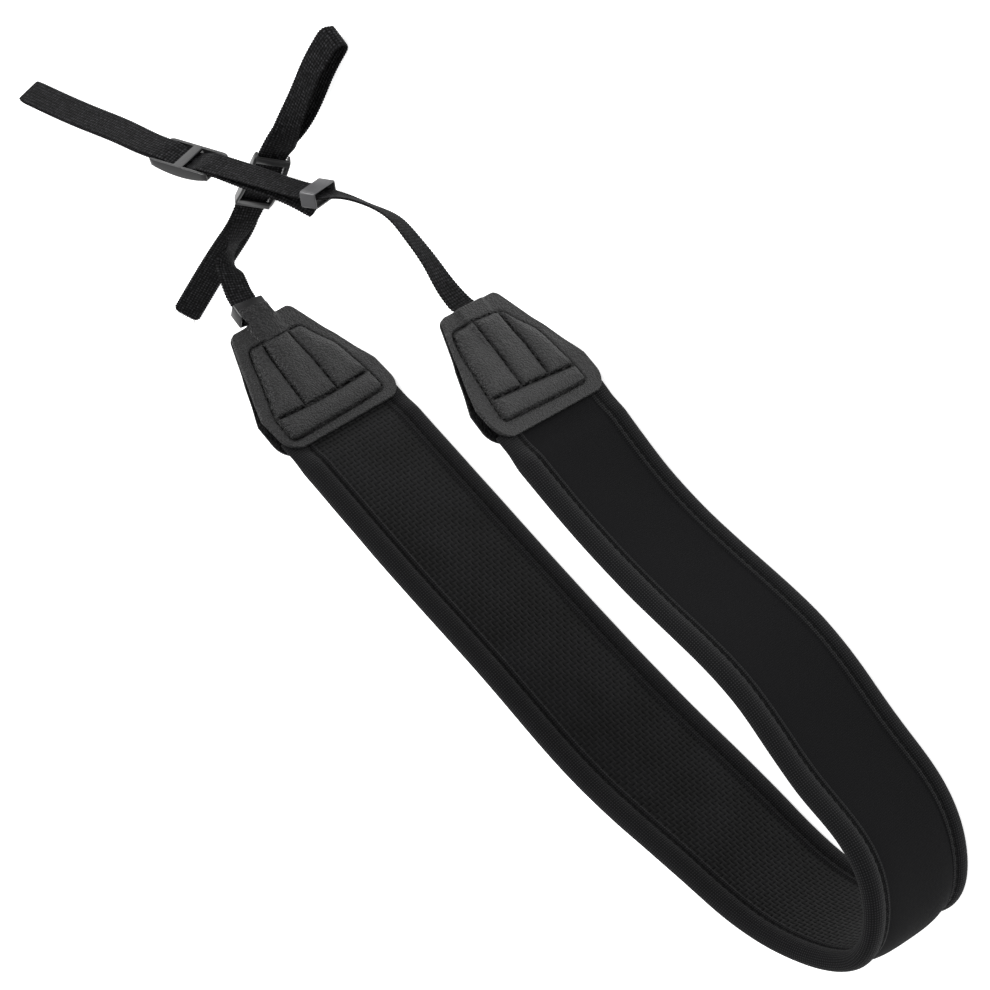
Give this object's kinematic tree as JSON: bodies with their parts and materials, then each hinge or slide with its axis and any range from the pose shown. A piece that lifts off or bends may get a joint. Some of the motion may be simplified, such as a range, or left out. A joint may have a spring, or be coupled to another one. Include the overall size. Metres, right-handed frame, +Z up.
{
  "type": "camera neck strap",
  "caption": "Wide padded camera neck strap, bent into a U and standing on its long edge, with leather end tabs, narrow webbing loops, keepers and slide buckles.",
  "frame": {"origin": "on the floor, under the middle of the bounding box", "axes": "+X runs from the bend of the U towards the camera loops, +Y from the front arm to the back arm, +Z up from the floor the band stands on"},
  "size_m": [0.4816, 0.1634, 0.061],
  "materials": {
    "neoprene": "black foam rubber faced with a fine smooth jersey knit",
    "grip_rubber": "black anti-slip layer, embossed in small rows",
    "knit_binding": "matt black ribbed knit tape",
    "leather": "dark grey grained leather with a soft sheen",
    "webbing": "black narrow woven webbing",
    "plastic": "smooth moulded dark grey plastic with a satin surface"
  },
  "bodies": {
    "root": {"pad_core": "neoprene", "grip_panel": "grip_rubber", "top_binding": "knit_binding", "bottom_binding": "knit_binding", "outer_tab_back_arm": "leather", "inner_tab_back_arm": "leather", "outer_tab_front_arm": "leather", "inner_tab_front_arm": "leather", "webbing_back_arm": "webbing", "webbing_front_arm": "webbing", "keeper_back_arm": "plastic", "keeper_front_arm": "plastic", "buckle_back_arm": "plastic", "buckle_front_arm": "plastic"}
  },
  "joints": []
}
